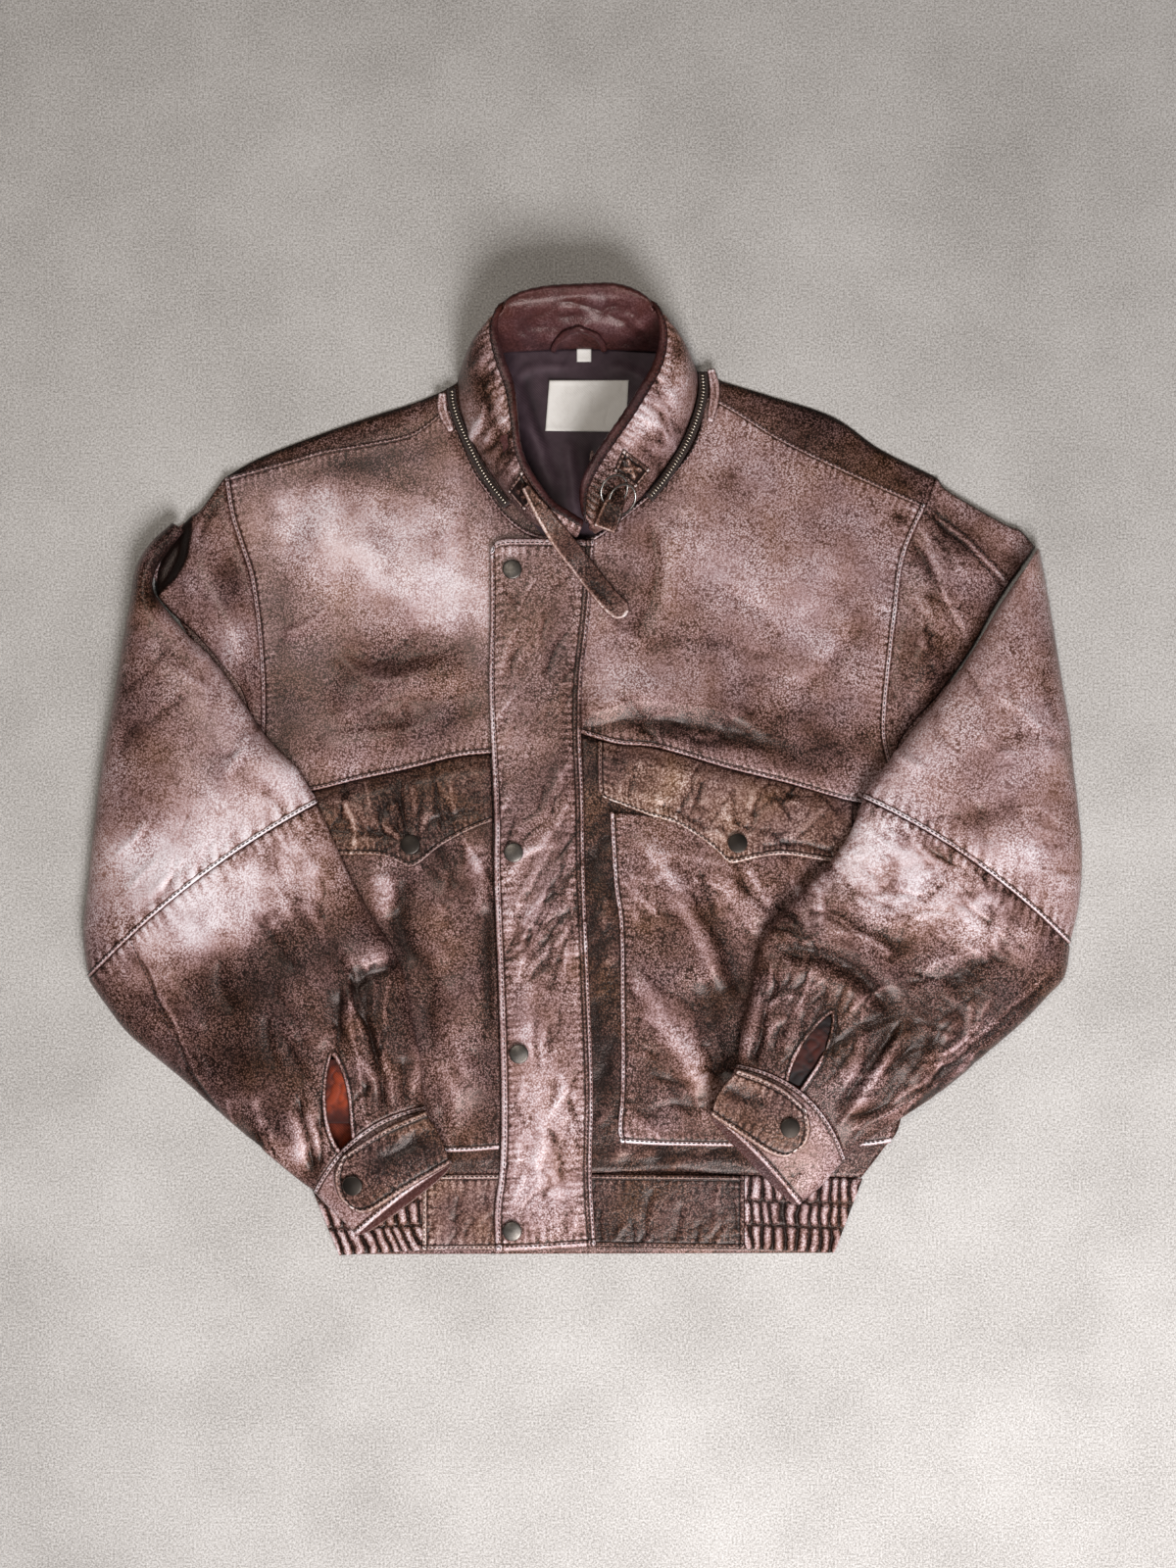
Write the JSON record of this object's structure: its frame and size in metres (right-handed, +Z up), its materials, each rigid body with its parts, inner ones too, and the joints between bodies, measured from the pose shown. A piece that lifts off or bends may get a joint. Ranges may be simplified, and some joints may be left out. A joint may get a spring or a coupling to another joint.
{
  "type": "leather blouson jacket, laid flat",
  "caption": "Worn brown leather blouson laid flat, sleeves folded over the front, with standing collar, snap placket, flap pockets and elastic waist.",
  "frame": {"origin": "middle of the jacket's box, on the surface it lies on", "axes": "+Y from the hem to the collar, +X to the wearer's left, +Z up off the surface"},
  "size_m": [0.7478, 0.7198, 0.0526],
  "materials": {
    "leather_brown": "worn, pebbled grain with rubbed highlights",
    "leather_dark": "worn, dark, light along rolled edges",
    "leather_burgundy": "smooth",
    "satin_dark": "dark satin lining",
    "satin_rust": "rust satin lining",
    "satin_white": "white satin, bare",
    "zip_tape": "woven tape",
    "zip_teeth": "aged brass",
    "thread": "dark sewing thread",
    "snap_metal": "antique nickel, domed",
    "ring_steel": "dull steel wire"
  },
  "bodies": {
    "root": {"back": "leather_brown", "front_upper_right": "leather_brown", "front_upper_left": "leather_brown", "front_lower_right": "leather_brown", "front_lower_left": "leather_brown", "pocket_right": "leather_brown", "pocket_left": "leather_brown", "flap_right": "leather_dark", "flap_left": "leather_dark", "placket": "leather_brown", "waistband_back": "leather_brown", "waistband_right": "leather_dark", "waistband_left": "leather_dark", "waist_elastic_right": "leather_dark", "waist_elastic_left": "leather_dark", "sleeve_head_right": "leather_brown", "sleeve_head_left": "leather_brown", "sleeve_back_right": "leather_brown", "sleeve_back_left": "leather_brown", "sleeve_upper_right": "leather_brown", "sleeve_upper_left": "leather_brown", "sleeve_lower_right": "leather_brown", "sleeve_lower_left": "leather_brown", "sleeve_lining_right": "satin_rust", "sleeve_lining_left": "satin_rust", "cuff_right": "leather_brown", "cuff_left": "leather_brown", "cuff_tab_right": "leather_dark", "cuff_tab_left": "leather_dark", "collar_outer": "leather_brown", "collar_facing": "leather_burgundy", "lining": "satin_dark", "label": "satin_white", "size_tag": "satin_white", "hanger_loop": "leather_burgundy", "neck_zip_right": "zip_tape", "neck_zip_left": "zip_tape", "zip_end_tab_right": "leather_brown", "zip_end_tab_left": "leather_brown", "collar_diamond": "leather_dark", "strap_anchor": "leather_dark", "ring_1": "ring_steel", "ring_2": "ring_steel", "strap_loop": "leather_dark", "throat_strap": "leather_dark", "snap_placket_1": "snap_metal", "snap_placket_2": "snap_metal", "snap_placket_3": "snap_metal", "snap_placket_4": "snap_metal", "snap_flap_right": "snap_metal", "snap_flap_left": "snap_metal", "snap_cuff_right": "snap_metal", "snap_cuff_left": "snap_metal"}
  },
  "joints": []
}
